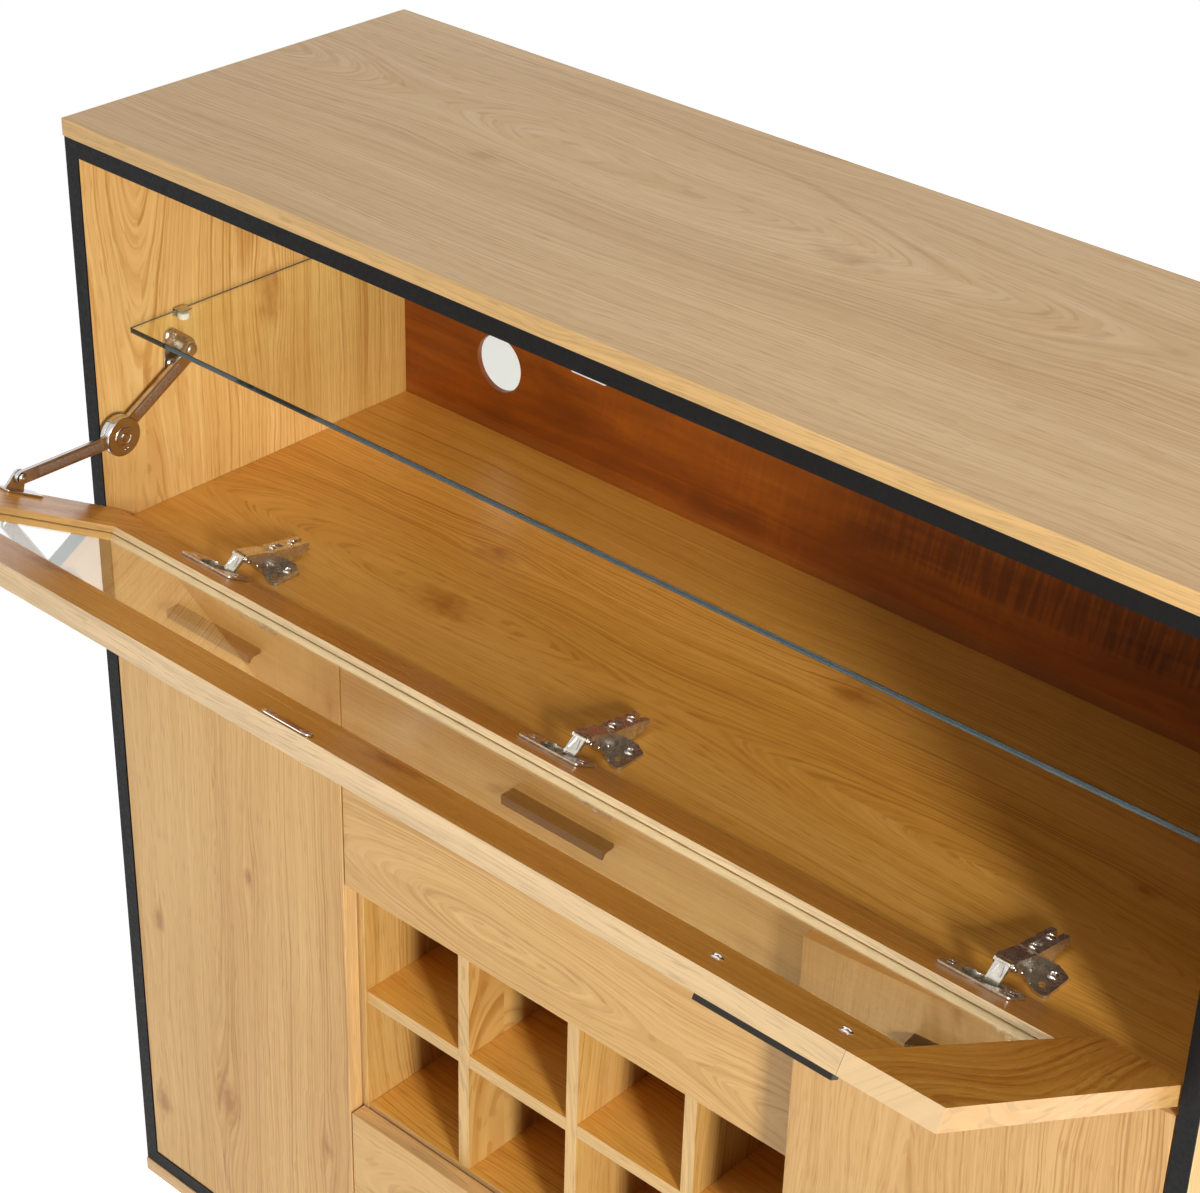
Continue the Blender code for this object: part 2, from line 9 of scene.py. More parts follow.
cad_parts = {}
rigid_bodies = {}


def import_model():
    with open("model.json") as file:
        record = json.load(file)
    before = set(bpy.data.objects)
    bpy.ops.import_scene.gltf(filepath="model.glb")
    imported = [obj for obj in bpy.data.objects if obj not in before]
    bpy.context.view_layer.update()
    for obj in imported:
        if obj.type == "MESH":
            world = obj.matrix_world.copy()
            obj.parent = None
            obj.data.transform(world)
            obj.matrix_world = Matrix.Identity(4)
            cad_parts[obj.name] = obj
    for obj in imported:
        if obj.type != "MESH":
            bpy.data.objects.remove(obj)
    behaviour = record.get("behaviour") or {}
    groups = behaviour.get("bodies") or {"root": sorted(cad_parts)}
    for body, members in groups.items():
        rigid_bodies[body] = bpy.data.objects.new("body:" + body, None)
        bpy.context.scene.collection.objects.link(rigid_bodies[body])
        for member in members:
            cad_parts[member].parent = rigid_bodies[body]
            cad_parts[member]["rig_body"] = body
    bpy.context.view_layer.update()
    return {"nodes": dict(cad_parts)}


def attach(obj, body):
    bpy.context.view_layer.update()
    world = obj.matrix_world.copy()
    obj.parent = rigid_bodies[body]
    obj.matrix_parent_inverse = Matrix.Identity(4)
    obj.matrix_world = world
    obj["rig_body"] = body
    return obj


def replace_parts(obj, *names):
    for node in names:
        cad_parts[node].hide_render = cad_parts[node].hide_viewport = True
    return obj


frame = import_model()
NODES = frame["nodes"]

# Measures of the cabinet in mm, as in the part's source
MM = 0.001
DEPTH = 377.0
HEIGHT = 1108.5
BAR_FLOOR = 365.2
FLAP_DEG = 60.3
FLAP_AXIS = (0.0, 7.75, 358.9)
FLAP_INSIDE = 8.65
FLAP_FOOT = -4.3
HINGES = (("left", -383.0), ("centre", 0.0), ("right", 383.0))
SHELF_TOP = 189.1
SHELF_T = 5.0
STAY_PIVOT = (95.1, 229.1)
STAY_ELBOW = (13.0, 277.1)
STAY_KNUCKLE = (-91.4, 276.6)

# Hinge fittings: across from the hinge's middle, behind the front, above the bar floor
ADJUSTERS = (("rear", 76.7, 14.05, 3.4), ("fore", 55.8, 17.95, 3.2))
ADJUSTER_SLOPE = Vector((0.0, 0.184, 0.983))
PLATE_SCREW = (18, 56.0, 2.8)
CHEEK_X = 8
HINGE_PINS = ((21.7, 23.2, 2.0), (24.2, 19.6, 2.0), (32.5, 12.8, 1.6), (43.4, 9.0, 1.6))

# Fittings on the flap: across, up from its foot, proud of its inside face
FLANGE_SCREW = (24.3, 25.5, 2.2)
RIB_START = (3.6, 7.6, 4.4)
RIB_END = (1.9, 4.55, 11.6)
CATCH_SCREW = (17.5, 323.7, 1.8)
PULL_SCREWS = (("inner", 346.5), ("outer", 442.4))
PULL_SCREW_ALONG = 296.0

# Faces of the stay's parts, in mm from the middle
STAY_CAP_X = -516.5
STAY_DOT_X = -516.1
STAY_PIVOT_X = -521.3
STAY_KNUCKLE_X = -516.3
STAY_PLATE_X = -531.2
STAY_UPPER_X = -522.2
STAY_LOWER_X = -517.2

CLIP_DEPTHS = (("front", 92.0), ("rear", 300.0))
CLIP_STUD_X = 526.5
CLIP_STUD_DOWN = 200.4

# Rounding of metal edges
WELD = 0.06
SHORTEST_EDGE = 0.3
FLAT_DEG = 1.5
SHARP_DEG = 38
SMOOTH_DEG = 34.0

# The photograph's camera: place in the cabinet's measures, direction, focal length in pixels
PHOTO_WIDTH = 1200.0
FOCAL_PIXELS = 2726.5
SENSOR = 36.0
CAMERA_AT = (1128.06, -1235.23, -794.0)
CAMERA_AHEAD = (-0.56883, 0.64183, -0.51429)
CAMERA_UP = (-0.3615, 0.36656, 0.85729)

# Light: what the white surroundings give to matt surfaces and to the eye, and the floor's glow
WORLD_FILL = 0.06
WORLD_SEEN = 1.0
FLOOR_GLOW = 0.85


def spot(x, y, down):
    """A point from the cabinet's own measures: mm from the middle, behind the front, below the top."""
    return Vector((x * MM, (y - DEPTH / 2) * MM, (HEIGHT - down) * MM))


FLAP_TURN = Matrix.Rotation(math.radians(FLAP_DEG), 4, "X")
FLAP_HOME = Matrix.Translation(spot(*FLAP_AXIS)) @ FLAP_TURN
FLAP_NORMAL = FLAP_TURN.to_3x3() @ Vector((0, 1, 0))
FLAP_ALONG = FLAP_TURN.to_3x3() @ Vector((0, 0, 1))


def on_flap(x, along, proud):
    """A point on the open flap: mm from the middle, up from its foot, proud of its inside face."""
    return FLAP_HOME @ Vector((x * MM, (FLAP_INSIDE + proud) * MM, (FLAP_FOOT + along) * MM))


class Net:
    """A material's node tree with short calls for the nodes used here."""

    def __init__(self, name):
        self.mat = bpy.data.materials.new(name)
        self.mat.use_nodes = True
        self.tree = self.mat.node_tree
        self.bsdf = self.tree.nodes["Principled BSDF"]

    def add(self, kind, **props):
        made = self.tree.nodes.new("ShaderNode" + kind)
        for key, value in props.items():
            setattr(made, key, value)
        return made

    def feed(self, socket, value):
        if hasattr(value, "is_output"):
            self.tree.links.new(value, socket)
        else:
            socket.default_value = value

    def place(self, vector, scale=(1, 1, 1), turn=(0, 0, 0), shift=(0, 0, 0)):
        made = self.add("Mapping")
        self.feed(made.inputs["Vector"], vector)
        made.inputs["Scale"].default_value = scale
        made.inputs["Rotation"].default_value = turn
        made.inputs["Location"].default_value = shift
        return made.outputs["Vector"]

    def noise(self, vector, scale=1.0, detail=2.0, rough=0.5, warp=0.0):
        made = self.add("TexNoise")
        self.feed(made.inputs["Vector"], vector)
        made.inputs["Scale"].default_value = scale
        made.inputs["Detail"].default_value = detail
        made.inputs["Roughness"].default_value = rough
        made.inputs["Distortion"].default_value = warp
        return made.outputs["Fac"]

    def math(self, kind, a, b=0.0):
        made = self.add("Math", operation=kind)
        self.feed(made.inputs[0], a)
        self.feed(made.inputs[1], b)
        return made.outputs[0]

    def sum(self, *terms):
        """Weighted sum of (output, weight) pairs."""
        total = None
        for value, weight in terms:
            part = self.math("MULTIPLY", value, weight)
            total = part if total is None else self.math("ADD", total, part)
        return total

    def product(self, *values):
        total = values[0]
        for value in values[1:]:
            total = self.math("MULTIPLY", total, value)
        return total

    def span(self, value, low, high, to_low=0.0, to_high=1.0):
        made = self.add("MapRange", interpolation_type="SMOOTHSTEP")
        self.feed(made.inputs["Value"], value)
        ends = {"From Min": low, "From Max": high, "To Min": to_low, "To Max": to_high}
        for key, number in ends.items():
            made.inputs[key].default_value = number
        return made.outputs["Result"]

    def mix(self, fac, a, b):
        made = self.add("Mix", data_type="RGBA")
        self.feed(made.inputs["Factor"], fac)
        for key, value in (("A", a), ("B", b)):
            socket = [s for s in made.inputs if s.name == key and s.type == "RGBA"][0]
            self.feed(socket, (*value, 1.0) if isinstance(value, tuple) else value)
        return [s for s in made.outputs if s.type == "RGBA"][0]

    def ramp(self, fac, *stops):
        made = self.add("ValToRGB")
        self.feed(made.inputs["Fac"], fac)
        points = made.color_ramp.elements
        while len(points) < len(stops):
            points.new(0.5)
        for point, (where, colour) in zip(points, stops):
            point.position = where
            point.color = (*colour, 1.0)
        return made.outputs["Color"]

    def flat_place(self, x, y):
        made = self.add("CombineXYZ")
        self.feed(made.inputs["X"], x)
        self.feed(made.inputs["Y"], y)
        return made.outputs["Vector"]

    def parts(self, vector):
        made = self.add("SeparateXYZ")
        self.feed(made.inputs["Vector"], vector)
        return made.outputs["X"], made.outputs["Y"], made.outputs["Z"]

    def bump(self, height, strength, distance):
        made = self.add("Bump")
        made.inputs["Strength"].default_value = strength
        made.inputs["Distance"].default_value = distance
        self.feed(made.inputs["Height"], height)
        self.feed(self.bsdf.inputs["Normal"], made.outputs["Normal"])

    def toward(self, axis):
        """How squarely a face looks the way of an axis of the object, -1 to 1."""
        coord = self.add("TexCoord")
        dot = self.add("VectorMath", operation="DOT_PRODUCT")
        self.feed(dot.inputs[0], coord.outputs["Normal"])
        dot.inputs[1].default_value = axis
        return dot.outputs["Value"]

    def along(self, axis):
        """How squarely a face looks along an axis of the object, either way, 0 to 1."""
        return self.math("ABSOLUTE", self.toward(axis))


def rgb(red, green, blue):
    """Display values 0 to 255 as linear colour."""
    shares = (red / 255, green / 255, blue / 255)
    return tuple(v / 12.92 if v <= 0.04045 else ((v + 0.055) / 1.055) ** 2.4 for v in shares)


# Turns that lay the grain along x; a flap's grain runs up it or across it
TURN = {"X": (0, 0, 0), "Z": (0, math.pi / 2, 0),
        "FLAP": (-math.radians(FLAP_DEG), math.pi / 2, 0), "FLAP_X": (-math.radians(FLAP_DEG), 0, 0)}
# Knots: cells to the metre along and across, how far off the grain bends, size of the dark core in m
CELLS = (3.1, 7.0)
KNOT_REACH = (0.062, 0.019)
KNOT_CORE = (0.012, 0.0062)
KNOT_BEND = -0.78
# How fast growth lines close to an arch along the grain, and the shift between the arch's two halves
ARCH = 0.055
HALF_SHIFT = 17.3
# Where the dark, middle and light tones sit on the figure's scale
TONE_AT = (0.24, 0.46, 0.66)
# How much darker each channel is in pores and round knots, and in a knot's core
DEEPER = (0.85, 0.69, 0.46)
DARKEST = (0.66, 0.45, 0.25)


def knot_field(net, along, across, seed, share, cells):
    """Scattered knots: how far the grain bends round them, and how deep in one a point lies."""
    place = net.place(net.flat_place(along, across), (*cells, 1.0), shift=(seed * 3.1, seed * 1.9, 0))
    cell = net.add("TexVoronoi", voronoi_dimensions="2D", feature="F1")
    cell.inputs["Scale"].default_value = 1.0
    cell.inputs["Randomness"].default_value = 0.7
    net.feed(cell.inputs["Vector"], place)
    apart = net.add("VectorMath", operation="SUBTRACT")
    net.feed(apart.inputs[0], place)
    net.feed(apart.inputs[1], cell.outputs["Position"])
    du, dv, _ = net.parts(apart.outputs["Vector"])
    dx = net.math("DIVIDE", du, cells[0])
    dy = net.math("DIVIDE", dv, cells[1])
    chance = net.add("SeparateColor")
    net.feed(chance.inputs["Color"], cell.outputs["Color"])
    picked = net.span(chance.outputs["Red"], 1.0 - share, 1.02 - share)
    size = net.span(chance.outputs["Green"], 0.0, 1.0, 0.45, 1.25)

    def squares(reach, weight):
        """Weighted sum of squares of the two distances, each over its own reach."""
        return net.sum((net.math("POWER", net.math("DIVIDE", dx, reach[0]), 2.0), weight),
                       (net.math("POWER", net.math("DIVIDE", dy, reach[1]), 2.0), weight))

    bend = net.product(dy, net.math("EXPONENT", squares(KNOT_REACH, -1.0)), picked, KNOT_BEND)
    radius = net.math("SQRT", squares(KNOT_CORE, 1.0))
    return bend, net.math("DIVIDE", radius, size), picked


def oak(name, grain, tones, seed, flat=None, edge=None, rough=0.42, figure=1.0, share=0.42, pitch=4.2,
        heart=(-2.0, 0.0), knot=1.0, cells=CELLS, outside=None, ends=None):
    """Oak-look laminate: growth lines arch round a heart and bend round knots, with fibres and short pores.

    Tones run light, mid, dark. Faces off the flat axis take the edge colour, and those that look the other
    way along it take the outside tones. A flap stile's ends have a colour of their own.
    """
    dark = tones[2]
    net = Net(name)
    coord = net.add("TexCoord")
    if grain == "BOX":
        x, y, z = net.parts(coord.outputs["Object"])
        level = net.along(UP)
        from_end = net.math("ADD", x, net.math("MULTIPLY", y, net.math("SUBTRACT", 1.0, level)))
        from_side = net.math("ADD", z, net.math("MULTIPLY", y, level))
    else:
        from_end, side_a, side_b = net.parts(net.place(coord.outputs["Object"], turn=TURN[grain]))
        from_side = net.math("ADD", side_a, side_b)
    along = net.math("ADD", from_end, seed * 1.37)
    across = net.math("ADD", from_side, seed * 1.24)
    bend, radius, picked = knot_field(net, along, across, seed, share, cells)
    flat_at = net.flat_place(along, across)

    def field(along_scale, across_scale, detail=1.0, shift=(0.0, 0.0, 0.0)):
        """Noise about 0, drawn out along the straight grain."""
        place = net.place(flat_at, (along_scale, across_scale, 1.0), shift=shift)
        return net.math("SUBTRACT", net.noise(place, 1.0, detail), 0.5)

    sway = net.sum((field(0.9, 2.4), 0.06), (field(3.6, 11.0, 2.0), 0.020), (field(10.0, 34.0), 0.0048),
                   (field(28.0, 90.0), 0.0014))
    off = net.math("ADD", net.math("SUBTRACT", from_side, heart[1]), net.math("ADD", sway, bend))
    lean = net.sum((net.math("SUBTRACT", from_end, heart[0]), ARCH),
                   (field(2.6, 2.6, 1.0, (3.0, 8.0, 0.0)), 0.07))
    warped = net.math("SQRT", net.math("ADD", net.product(off, off), net.product(lean, lean)))
    half = net.math("ADD", along, net.math("MULTIPLY", net.math("GREATER_THAN", off, 0.0), HALF_SHIFT))

    def drawn(along_scale, across_scale, detail, rough_share=0.5):
        """Noise about 0, drawn out along the bent grain."""
        place = net.flat_place(net.math("MULTIPLY", half, along_scale),
                               net.math("MULTIPLY", warped, across_scale))
        return net.math("SUBTRACT", net.noise(place, 1.0, detail, rough_share), 0.5)

    band = drawn(0.8, 15.0, 3.0, 0.55)
    streak = drawn(1.6, 90.0, 2.0, 0.6)
    fibre = drawn(6.0, 470.0, 2.0, 0.65)
    strong = net.span(drawn(1.3, 130.0, 1.0), -0.18, 0.20, 0.08, 1.0)
    pore = net.product(net.span(drawn(42.0, 1050.0, 0.0), 0.08, 0.20),
                       net.math("ADD", net.math("MULTIPLY", strong, 0.6), 0.4))
    jitter = net.sum((drawn(0.7, 60.0, 1.0), 3.4), (drawn(1.6, 260.0, 0.0), 0.8))
    phase = net.math("FRACT", net.math("ADD", net.math("MULTIPLY", warped, 1000.0 / pitch), jitter))
    line = net.product(net.span(phase, 0.36, 0.82), net.span(phase, 0.86, 1.0, 1.0, 0.0))
    patch = net.span(field(1.2, 4.6, 1.0, (5.0, 3.0, 0.0)), -0.15, 0.10, 0.12, 1.0)
    lines = net.product(line, strong, patch)
    seam = net.span(net.math("ABSOLUTE", drawn(0.6, 8.0, 1.0)), 0.0, 0.007, 1.0, 0.0)
    seam = net.product(seam, net.span(field(1.7, 5.0, 1.0, (9.0, 1.0, 0.0)), 0.03, 0.10))
    value = net.math("ADD", net.sum((band, 0.50), (streak, 0.30), (fibre, 0.46), (lines, -0.24 * figure),
                                    (seam, -0.16)), 0.545)
    colour = net.ramp(value, *zip(TONE_AT, reversed(tones)))
    if outside is not None:
        outer = net.ramp(value, *zip(TONE_AT, reversed(outside)))
        colour = net.mix(net.span(net.toward(flat), -0.6, -0.4, 1.0, 0.0), colour, outer)
    deep = tuple(v * f for v, f in zip(dark, DEEPER))
    core = tuple(v * f for v, f in zip(dark, DARKEST))
    uneven = net.math("ADD", radius, net.math("MULTIPLY", field(60.0, 90.0, 2.0), 3.4))
    colour = net.mix(net.product(net.span(uneven, 0.4, 3.2, 1.0, 0.0), picked, 0.66 * knot), colour, deep)
    colour = net.mix(net.product(net.span(uneven, 0.1, 1.4, 1.0, 0.0), picked, 0.46 * knot), colour, core)
    colour = net.mix(net.math("MULTIPLY", pore, 0.40), colour, deep)
    if edge is not None:
        rim = net.span(net.along(flat), 0.45, 0.55, 1.0, 0.0)
        tone = net.math("ADD", net.sum((band, 0.5), (streak, 0.6), (fibre, 0.7), (pore, -0.3)), 0.52)
        pale = net.ramp(tone, (0.32, tuple(v * 0.74 for v in edge)), (0.60, edge))
        colour = net.mix(rim, colour, pale)
        if ends is not None:
            capped = net.ramp(tone, (0.32, tuple(v * 0.9 for v in ends)), (0.60, ends))
            colour = net.mix(net.span(net.along(tuple(FLAP_ALONG)), 0.45, 0.55), colour, capped)
    net.feed(net.bsdf.inputs["Base Color"], colour)
    net.feed(net.bsdf.inputs["Roughness"], net.span(fibre, -0.2, 0.2, rough + 0.06, rough - 0.05))
    relief = net.sum((fibre, 0.6), (pore, -0.8), (lines, -0.4))
    net.bump(relief, 0.25, 0.0002)
    return net.mat


def back_board(name):
    """Red-brown stained panel with long streaks, dark clouds, a row of short upright saw ripples, and painted
    shade low on its inside face.
    """
    net = Net(name)
    coord = net.add("TexCoord")
    place = coord.outputs["Object"]
    _, out_of_face, _ = net.parts(coord.outputs["Normal"])
    inside = net.span(out_of_face, -0.6, -0.4, 1.0, 0.0)
    streak = net.noise(net.place(place, (3.2, 1.0, 60.0)), 1.0, 4.0, 0.65, 0.6)
    cloud = net.noise(net.place(place, (6.0, 1.0, 14.0), shift=(2.0, 0, 1.0)), 1.0, 4.0, 0.6, 0.8)
    leaning = net.place(place, turn=(0, math.radians(-9), 0))
    ripple = net.noise(net.place(leaning, (210.0, 1.0, 14.0)), 1.0, 1.0, 0.6)
    width, _, height = net.parts(place)
    band = net.product(net.span(height, 0.786, 0.800), net.span(height, 0.842, 0.856, 1.0, 0.0))
    right = net.span(width, -0.10, 0.16)
    faint = net.math("MULTIPLY", net.span(cloud, 0.48, 0.60), 0.22)
    rows = net.product(net.math("MAXIMUM", faint, net.product(band, right)), inside)
    chatter = net.product(net.span(ripple, 0.34, 0.62), rows, -0.18)
    # Painted shade: the inside face darkens below the bar floor, fully so under about 0.56 m, where the rack
    # and drawers stand in front of it.
    painted_shade_behind_rack = net.product(net.span(height, 0.56, 0.74, 1.0, 0.0), inside, -0.22)
    value = net.math("ADD", net.sum((streak, 0.45), (cloud, 0.55)), net.math("ADD", chatter, painted_shade_behind_rack))
    colour = net.ramp(value, (0.18, rgb(62, 22, 2)), (0.46, rgb(132, 62, 8)), (0.70, rgb(186, 100, 22)))
    net.feed(net.bsdf.inputs["Base Color"], colour)
    net.feed(net.bsdf.inputs["Roughness"], net.span(streak, 0.3, 0.7, 0.44, 0.32))
    net.bump(value, 0.12, 0.0003)
    return net.mat


def plain(name, colour, vary, rough, metal=0.0, scale=120.0, relief=0.06, stretch=(1, 1, 1), shine=0.5):
    """Painted, moulded or plated surface with slight unevenness of tone and gloss."""
    net = Net(name)
    place = net.place(net.add("TexCoord").outputs["Object"], stretch)
    grain = net.noise(place, scale, 3.0, 0.6)
    low = tuple(v * (1 - vary) for v in colour)
    high = tuple(min(1.0, v * (1 + vary)) for v in colour)
    net.feed(net.bsdf.inputs["Base Color"], net.ramp(grain, (0.35, low), (0.65, high)))
    net.feed(net.bsdf.inputs["Roughness"], net.span(grain, 0.3, 0.7, rough * 0.85, rough * 1.15))
    net.bsdf.inputs["Metallic"].default_value = metal
    net.bsdf.inputs["Specular IOR Level"].default_value = shine
    net.bump(grain, relief, 0.0002)
    return net.mat


def glass(name, flat, tint, rim, foot, turn_at=None):
    """Clear float glass, dark green-blue in its edges and paler at their foot; lamps shine through it."""
    net = Net(name)
    place = net.add("TexCoord").outputs["Object"]
    face = net.span(net.along(flat), 0.4, 0.6)
    edge = rim
    if turn_at is not None:
        _, _, height = net.parts(place)
        edge = net.mix(net.span(height, turn_at - 0.0004, turn_at + 0.0004), foot, rim)
    net.feed(net.bsdf.inputs["Base Color"], net.mix(face, edge, tint))
    smear = net.noise(place, 6.0, 3.0)
    net.feed(net.bsdf.inputs["Roughness"], net.span(smear, 0.3, 0.8, 0.0, 0.02))
    net.feed(net.bsdf.inputs["Transmission Weight"], net.span(net.along(flat), 0.4, 0.6, 0.2, 1.0))
    net.bsdf.inputs["IOR"].default_value = 1.5
    lit = net.add("BsdfTransparent")
    lit.inputs["Color"].default_value = (0.90, 0.93, 0.90, 1.0)
    either = net.add("MixShader")
    net.feed(either.inputs[0], net.add("LightPath").outputs["Is Shadow Ray"])
    net.feed(either.inputs[1], net.bsdf.outputs[0])
    net.feed(either.inputs[2], lit.outputs[0])
    net.feed(net.tree.nodes["Material Output"].inputs["Surface"], either.outputs[0])
    return net.mat


def dress(mat, *names):
    """Put a material on every slot of some nodes."""
    for name in names:
        for holder in NODES[name].material_slots:
            holder.material = mat


UP = (0.0, 0.0, 1.0)
SIDE = (1.0, 0.0, 0.0)
FRONT = (0.0, 1.0, 0.0)
INTO = tuple(FLAP_NORMAL)
PALE = rgb(232, 190, 134)
DOOR_EDGE = rgb(236, 192, 128)
DRAWER_EDGE = rgb(226, 182, 122)
RAIL_EDGE = rgb(238, 204, 154)
STILE_EDGE = rgb(216, 168, 102)
DOOR_CELLS = (4.4, 9.0)
GLASS_EDGE = (0.010, 0.034, 0.040)
GLASS_FOOT = (0.05, 0.085, 0.09)


def dress_boards():
    """Each board's own oak, so that no two show the same figure; then back, trim and glass."""
    # The top's tones are greyer than the fronts': partly the board's own tone, partly a painted sheen of the
    # white surroundings.
    tan_with_painted_sheen = (rgb(224, 188, 138), rgb(208, 169, 117), rgb(184, 142, 94))
    gold = (rgb(229, 190, 121), rgb(211, 165, 95), rgb(183, 129, 60))
    front = (rgb(231, 188, 120), rgb(215, 169, 100), rgb(189, 137, 71))
    # Darker copy of the front tones for the right door: painted shade that offsets the key lamp falling more
    # squarely on it.
    lit = (rgb(214, 172, 111), rgb(198, 153, 91), rgb(172, 123, 63))
    rack = (rgb(214, 174, 104), rgb(197, 150, 80), rgb(170, 117, 50))
    # Amber tones for the bar floor and rack boards: the oak's own colour, made more saturated to stand in for
    # the deep shade inside, so partly painted shade.
    amber = (rgb(236, 179, 88), rgb(221, 159, 65), rgb(192, 126, 45))
    stile = (rgb(242, 180, 80), rgb(222, 150, 55), rgb(184, 112, 34))
    brown = (rgb(228, 164, 72), rgb(206, 138, 50), rgb(168, 102, 31))
    inner = rgb(236, 194, 128)
    shelf_mid = spot(0, 0, SHELF_TOP).z - 0.6 * SHELF_T * MM
    dress(oak("oak_top", "X", tan_with_painted_sheen, 1.0, UP, rgb(238, 194, 128), 0.40, 0.8, 0.3, 3.6, (-1.0, 1.17), 0.5),
          "top_board")
    dress(oak("oak_bottom", "X", front, 2.3, UP, PALE), "bottom_board", "bottom_panel", "sub_top_panel")
    for side, seed, heart in (("left", 3.1, (1.5, 0.40)), ("right", 4.7, (1.5, -0.60))):
        dress(oak("oak_side_" + side, "Z", gold, seed, SIDE, PALE, figure=1.3, share=0.6, heart=heart),
              side + "_side_panel")
    dress(oak("oak_floor", "X", amber, 5.2, UP, inner, 0.34, 1.12, 0.5, 4.0, (0.30, 0.672), 0.8), "bar_floor")
    dress(oak("oak_divider", "Z", rack, 6.4, SIDE, inner), "left_divider", "right_divider")
    dress(oak("oak_rack_upright", "Z", rack, 7.9, SIDE, inner),
          "rack_divider_left", "rack_divider_centre", "rack_divider_right")
    dress(oak("oak_rack_board", "X", amber, 8.3, UP, inner), "rack_shelf", "rack_base", "rack_top")
    dress(oak("oak_door_left", "Z", front, 9.6, FRONT, DOOR_EDGE, figure=1.1, share=0.9, pitch=3.6,
              heart=(0.5, 0.235), knot=0.9, cells=DOOR_CELLS), "left_door")
    # The right door takes the darker copy of the front tones: painted shade against the key lamp.
    dress(oak("oak_door_right", "Z", lit, 11.2, FRONT, DOOR_EDGE, figure=1.3, share=0.8, pitch=3.4,
              heart=(0.2, -0.55), knot=0.9, cells=DOOR_CELLS), "right_door")
    dress(oak("oak_drawer_upper", "X", front, 12.5, FRONT, DRAWER_EDGE, heart=(0.5, 0.36)),
          "upper_drawer_front")
    dress(oak("oak_drawer_lower", "X", front, 13.8, FRONT, DRAWER_EDGE), "lower_drawer_front")
    dress(oak("oak_drawer_box", "BOX", gold, 14.4), "upper_drawer_box", "lower_drawer_box")
    dress(oak("oak_flap_rail", "FLAP_X", brown, 15.3, INTO, RAIL_EDGE, 0.30, outside=front),
          "flap_hinge_rail", "flap_outer_rail")
    dress(oak("oak_flap_stile", "FLAP", stile, 16.9, INTO, STILE_EDGE, 0.30, 1.3, outside=front,
              ends=RAIL_EDGE),
          "flap_left_stile", "flap_right_stile")
    dress(back_board("back_board"), "back_panel")
    dress(plain("black_edge", rgb(12, 12, 13), 0.12, 0.6, scale=300.0, shine=0.2), "front_trim")
    dress(glass("shelf_glass", UP, (0.88, 0.89, 0.82), GLASS_EDGE, GLASS_FOOT, shelf_mid), "glass_shelf")
    dress(glass("flap_pane", INTO, (0.94, 0.97, 0.94), GLASS_EDGE, GLASS_FOOT), "flap_glass")


NICKEL = plain("nickel", (0.60, 0.575, 0.55), 0.06, 0.20, 1.0, 90.0, 0.05)
SATIN = plain("satin_nickel", (0.63, 0.59, 0.50), 0.12, 0.26, 0.93, 160.0, 0.02)
BRIGHT = plain("zinc_screw", (0.84, 0.85, 0.87), 0.04, 0.20, 1.0, 160.0, 0.04)
PULL = plain("dark_pull", rgb(40, 34, 29), 0.15, 0.38, 0.5, 400.0, 0.05, (0.05, 1, 1))
WHITE = plain("white_plastic", rgb(236, 236, 232), 0.03, 0.4)
BRUSHED = plain("speckled_nickel", (0.52, 0.48, 0.44), 0.30, 0.42, 1.0, 900.0, 0.35)


def finished(name, made, mat, body, home=None):
    """A mesh made in bmesh becomes a piece that rides on a body."""
    if home is not None:
        bmesh.ops.transform(made, matrix=home, verts=made.verts)
    bmesh.ops.recalc_face_normals(made, faces=made.faces)
    for face in made.faces:
        face.smooth = True
    for edge in made.edges:
        edge.smooth = len(edge.link_faces) == 2 and edge.calc_face_angle(0.0) < math.radians(SMOOTH_DEG)
    mesh = bpy.data.meshes.new(name)
    made.to_mesh(mesh)
    made.free()
    mesh.materials.append(mat)
    piece = bpy.data.objects.new(name, mesh)
    bpy.context.scene.collection.objects.link(piece)
    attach(piece, body)
    return piece


def refined(node, mat, width):
    """A copy of a node with its sharp edges rounded, which stands for it."""
    made = bmesh.new()
    made.from_mesh(NODES[node].data)
    bmesh.ops.remove_doubles(made, verts=made.verts, dist=WELD * MM)
    bmesh.ops.dissolve_limit(made, angle_limit=math.radians(FLAT_DEG), verts=made.verts, edges=made.edges)
    bmesh.ops.dissolve_degenerate(made, dist=SHORTEST_EDGE * MM, edges=made.edges)
    sharp = [edge for edge in made.edges if len(edge.link_faces) == 2 and edge.is_convex
             and edge.calc_face_angle(0.0) > math.radians(SHARP_DEG)]
    bmesh.ops.bevel(made, geom=sharp, offset=width * MM, offset_type="OFFSET", segments=2, profile=0.5,
                    affect="EDGES", clamp_overlap=True)
    piece = finished(node + "_finish", made, mat, NODES[node]["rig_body"])
    even = piece.modifiers.new("even_faces", "WEIGHTED_NORMAL")
    even.keep_sharp = True
    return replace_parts(piece, node)


def facing(point, normal, spin_deg=0.0):
    """A frame at a point with z along a normal."""
    turn = Vector(normal).to_track_quat("Z", "Y").to_matrix().to_4x4()
    return Matrix.Translation(point) @ turn @ Matrix.Rotation(math.radians(spin_deg), 4, "Z")


def turned(profile, sectors=40, recess=0.0):
    """A solid turned from (radius, height) pairs in mm, its top first; recess sinks a cross into it."""
    made = bmesh.new()
    reach = max(radius for radius, _ in profile)
    top = made.verts.new((0, 0, (profile[0][1] - recess) * MM))
    rows = []
    for radius, high in profile[1:]:
        row = []
        for step in range(sectors):
            angle = 2 * math.pi * step / sectors
            x, y = radius * math.cos(angle), radius * math.sin(angle)
            narrow, wide = sorted((abs(x), abs(y)))
            sunk = recess if narrow < 0.17 * reach and wide < 0.62 * reach else 0.0
            row.append(made.verts.new((x * MM, y * MM, (high - sunk) * MM)))
        rows.append(row)
    for step in range(sectors):
        made.faces.new((top, rows[0][step - 1], rows[0][step]))
        for upper, lower in zip(rows, rows[1:]):
            made.faces.new((upper[step - 1], lower[step - 1], lower[step], upper[step]))
    made.faces.new(rows[-1])
    return made


